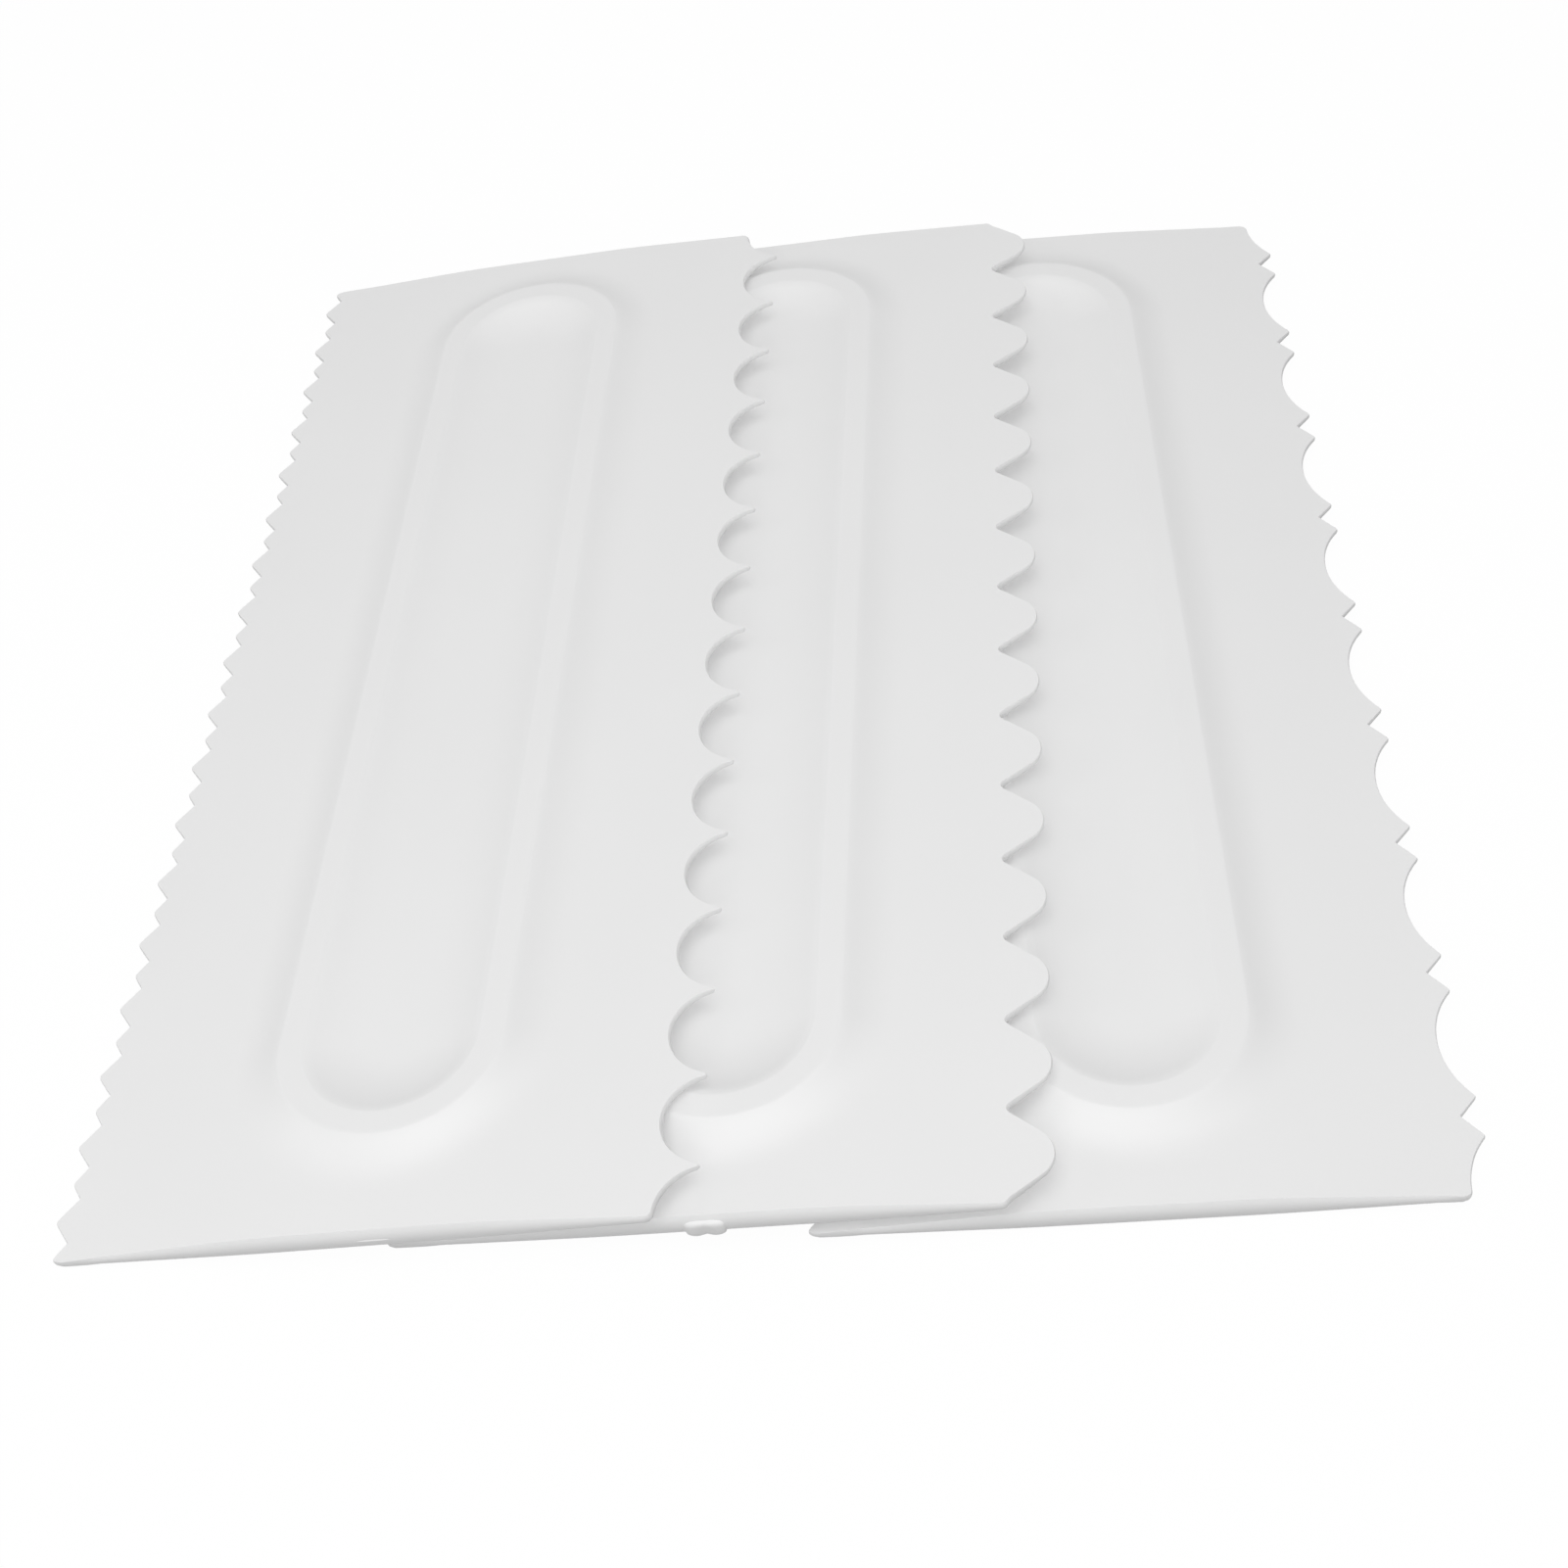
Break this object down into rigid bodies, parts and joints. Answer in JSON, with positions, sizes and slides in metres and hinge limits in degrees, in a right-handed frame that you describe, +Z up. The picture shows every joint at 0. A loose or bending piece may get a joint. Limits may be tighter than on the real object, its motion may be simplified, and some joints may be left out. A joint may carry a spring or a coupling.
{
  "type": "icing comb set",
  "caption": "Fanned set of loose flat icing combs in white plastic, each with a different toothed pattern on either long edge and a long grip hollow inside a raised rim.",
  "frame": {"origin": "on the table, under the middle of the whole fan's bounding box", "axes": "+X across the combs towards the lowest comb, +Y along the combs away from the viewer, +Z up"},
  "size_m": [0.1972, 0.23, 0.0111],
  "materials": {
    "white_plastic": "satin"
  },
  "bodies": {
    "arched_comb": {"arched_comb": "white_plastic"},
    "waved_comb": {"waved_comb": "white_plastic"},
    "scalloped_comb": {"scalloped_comb": "white_plastic"}
  },
  "joints": [
    {"name": "waved_comb_lift", "type": "slide", "parent": "arched_comb", "child": "waved_comb", "axis": [0, 0, 1], "range_m": [0, 0.05]},
    {"name": "scalloped_comb_lift", "type": "slide", "parent": "waved_comb", "child": "scalloped_comb", "axis": [0, 0, 1], "range_m": [0, 0.05]}
  ]
}
